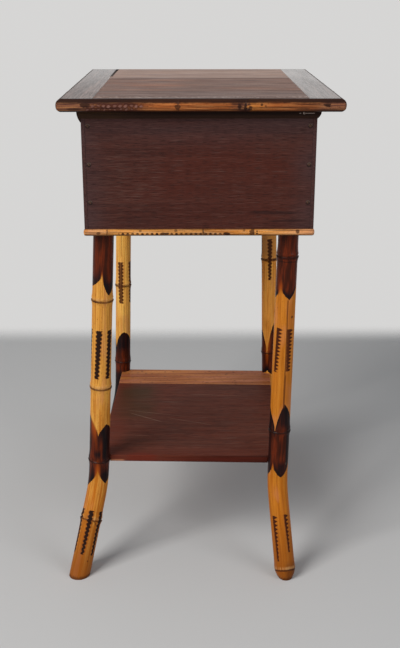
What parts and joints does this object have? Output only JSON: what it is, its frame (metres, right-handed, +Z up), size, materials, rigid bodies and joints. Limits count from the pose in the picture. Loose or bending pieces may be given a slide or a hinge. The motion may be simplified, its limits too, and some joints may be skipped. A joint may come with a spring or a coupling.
{
  "type": "sewing box on stand",
  "caption": "Antique wooden sewing box with a hinged lid and a sliding tray inside, on splayed bamboo legs joined by a low shelf.",
  "frame": {"origin": "on the floor, below the middle of the whole piece's bounding box", "axes": "+Z up; +Y from the front end of the box to its back end; +X towards the hinged side of the lid"},
  "size_m": [0.3691, 0.459, 0.676],
  "materials": {
    "bamboo": "varnished bamboo, burnt with dark bands and marks",
    "dark_bamboo": "split bamboo, stained red-brown, burnt and varnished",
    "mahogany": "dark red-brown stain, worn satin varnish",
    "pine": "stained softwood, worn",
    "lacquer": "dark lacquer, worn and streaky, glossy",
    "black_lacquer": "black gloss lacquer",
    "inner_wood": "bare wood, aged",
    "brass": "aged, dull",
    "iron": "dark wire nails and screws"
  },
  "bodies": {
    "box_and_stand": {"leg_front_left": "bamboo", "leg_front_right": "bamboo", "leg_back_left": "bamboo", "leg_back_right": "bamboo", "leg_dowels": "inner_wood", "leg_screws": "iron", "shelf_board": "mahogany", "shelf_strip": "pine", "shelf_nails": "iron", "bottom_board": "inner_wood", "bottom_nails": "iron", "side_left": "mahogany", "side_right": "mahogany", "end_front": "mahogany", "end_back": "mahogany", "box_nails": "iron", "base_trim_front": "bamboo", "base_trim_right": "bamboo", "base_trim_back": "bamboo", "base_trim_left": "bamboo", "rim_bead_front": "black_lacquer", "rim_bead_right": "black_lacquer", "rim_bead_back": "black_lacquer", "rim_bead_left": "black_lacquer", "runner_left": "inner_wood", "runner_right": "inner_wood", "hinge_leaves_box": "brass", "hinge_pins": "brass", "hinge_screws_box": "brass"},
    "lid": {"hinge_leaves_lid": "brass", "hinge_screws_lid": "brass", "lid_board_front": "lacquer", "lid_board_middle": "lacquer", "lid_board_back": "lacquer", "lid_cleat_left": "lacquer", "lid_cleat_right": "lacquer", "lid_trim_front": "dark_bamboo", "lid_trim_right": "dark_bamboo", "lid_trim_back": "dark_bamboo", "lid_trim_left": "dark_bamboo"},
    "tray": {"tray_side_left": "inner_wood", "tray_side_right": "inner_wood", "tray_end_front": "inner_wood", "tray_end_back": "inner_wood", "tray_bottom": "inner_wood", "tray_partition_cross": "inner_wood", "tray_partition_left": "inner_wood", "tray_partition_right": "inner_wood"}
  },
  "joints": [
    {"name": "lid_hinge", "type": "hinge", "parent": "box_and_stand", "child": "lid", "pos_m": [0.15718, 0, 0.66], "axis": [0, 1, 0], "range_deg": [0, 99]},
    {"name": "tray_slide", "type": "slide", "parent": "box_and_stand", "child": "tray", "axis": [0, 1, 0], "range_m": [0, 0.1868]}
  ]
}
